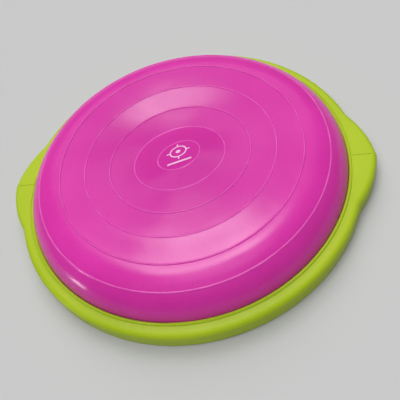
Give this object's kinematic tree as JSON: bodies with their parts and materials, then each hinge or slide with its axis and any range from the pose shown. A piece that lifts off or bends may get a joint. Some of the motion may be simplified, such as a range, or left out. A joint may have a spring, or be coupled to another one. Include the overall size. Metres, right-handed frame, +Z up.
{
  "type": "balance board",
  "caption": "Round balance board: a low air-filled dome with raised rings, clamped in a flat two-part platform with a hand wing on each side.",
  "frame": {"origin": "on the floor under the middle of the platform", "axes": "+Z up through the dome's crown, +X towards one hand wing, +Y across"},
  "size_m": [0.5848, 0.544, 0.077],
  "materials": {
    "lime_plastic": "satin",
    "magenta_pvc": "satin",
    "pale_print": "matte",
    "dark_nylon": "matte",
    "black_rubber": "matte",
    "grey_rubber": "matte",
    "zinc_steel": "brushed",
    "white_plastic": "satin"
  },
  "bodies": {
    "platform": {"platform_rim": "lime_plastic", "platform_base": "lime_plastic", "clamp_ring": "dark_nylon", "deck_seal": "black_rubber", "right_grip": "grey_rubber", "left_grip": "grey_rubber", "clamp_screws": "zinc_steel", "rim_screws": "zinc_steel", "valve_seat": "black_rubber", "foot_01": "grey_rubber", "foot_02": "grey_rubber", "foot_03": "grey_rubber", "foot_04": "grey_rubber", "foot_05": "grey_rubber", "foot_06": "grey_rubber", "foot_07": "grey_rubber", "foot_08": "grey_rubber"},
    "dome": {"dome": "magenta_pvc", "dome_print": "pale_print"},
    "valve_plug": {"valve_plug": "white_plastic"}
  },
  "joints": [
    {"name": "dome_press", "type": "slide", "parent": "platform", "child": "dome", "axis": [0, 0, -1], "range_m": [0, 0.02], "stiffness_N_per_m": 12000, "springref_m": -0.002, "deforming": ["dome"]},
    {"name": "valve_plug_pull", "type": "slide", "parent": "platform", "child": "valve_plug", "axis": [0, 0, -1], "range_m": [0, 0.0085]}
  ]
}
